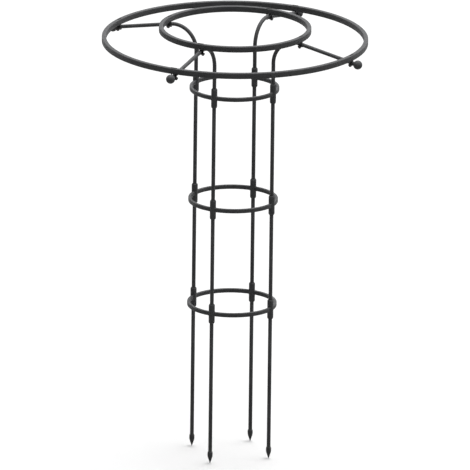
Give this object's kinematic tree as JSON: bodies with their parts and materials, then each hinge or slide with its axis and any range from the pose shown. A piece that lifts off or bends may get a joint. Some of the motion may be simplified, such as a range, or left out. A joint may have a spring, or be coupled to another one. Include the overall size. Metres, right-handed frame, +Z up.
{
  "type": "garden trellis",
  "caption": "Tall four-post plant support with ground spikes, hooped column, bent arms with ball ends and a flat canopy of two concentric rings.",
  "frame": {"origin": "on the ground at the spikes' points, on the column's axis", "axes": "+Z up along the column's axis, +X and +Y along two of the four arms"},
  "size_m": [1.1678, 1.1678, 1.8239],
  "materials": {
    "powder_coat": "satin anthracite powder coat on steel tube",
    "black_zinc": "black zinc on bolts, nuts and screws"
  },
  "bodies": {
    "root": {"arm_back": "powder_coat", "arm_front": "powder_coat", "arm_left": "powder_coat", "arm_right": "powder_coat", "ball_back": "powder_coat", "ball_front": "powder_coat", "ball_left": "powder_coat", "ball_right": "powder_coat", "inner_ring_left": "powder_coat", "inner_ring_right": "powder_coat", "inner_saddle_back": "black_zinc", "inner_saddle_front": "black_zinc", "inner_saddle_left": "black_zinc", "inner_saddle_right": "black_zinc", "inner_screw_back_left": "black_zinc", "inner_screw_back_right": "black_zinc", "inner_screw_front_left": "black_zinc", "inner_screw_front_right": "black_zinc", "inner_spigot_back": "powder_coat", "inner_spigot_front": "powder_coat", "inner_ubolt_back": "black_zinc", "inner_ubolt_front": "black_zinc", "inner_ubolt_left": "black_zinc", "inner_ubolt_right": "black_zinc", "leg_back": "powder_coat", "leg_front": "powder_coat", "leg_left": "powder_coat", "leg_right": "powder_coat", "lower_frame": "powder_coat", "lower_post_back": "powder_coat", "lower_post_front": "powder_coat", "lower_post_left": "powder_coat", "lower_post_right": "powder_coat", "middle_frame": "powder_coat", "outer_ring_left": "powder_coat", "outer_ring_right": "powder_coat", "outer_saddle_back": "black_zinc", "outer_saddle_front": "black_zinc", "outer_saddle_left": "black_zinc", "outer_saddle_right": "black_zinc", "outer_screw_back_left": "black_zinc", "outer_screw_back_right": "black_zinc", "outer_screw_front_left": "black_zinc", "outer_screw_front_right": "black_zinc", "outer_spigot_back": "powder_coat", "outer_spigot_front": "powder_coat", "outer_ubolt_back": "black_zinc", "outer_ubolt_front": "black_zinc", "outer_ubolt_left": "black_zinc", "outer_ubolt_right": "black_zinc", "spike_back": "powder_coat", "spike_front": "powder_coat", "spike_left": "powder_coat", "spike_right": "powder_coat", "upper_frame": "powder_coat", "upper_post_back": "powder_coat", "upper_post_front": "powder_coat", "upper_post_left": "powder_coat", "upper_post_right": "powder_coat"}
  },
  "joints": []
}
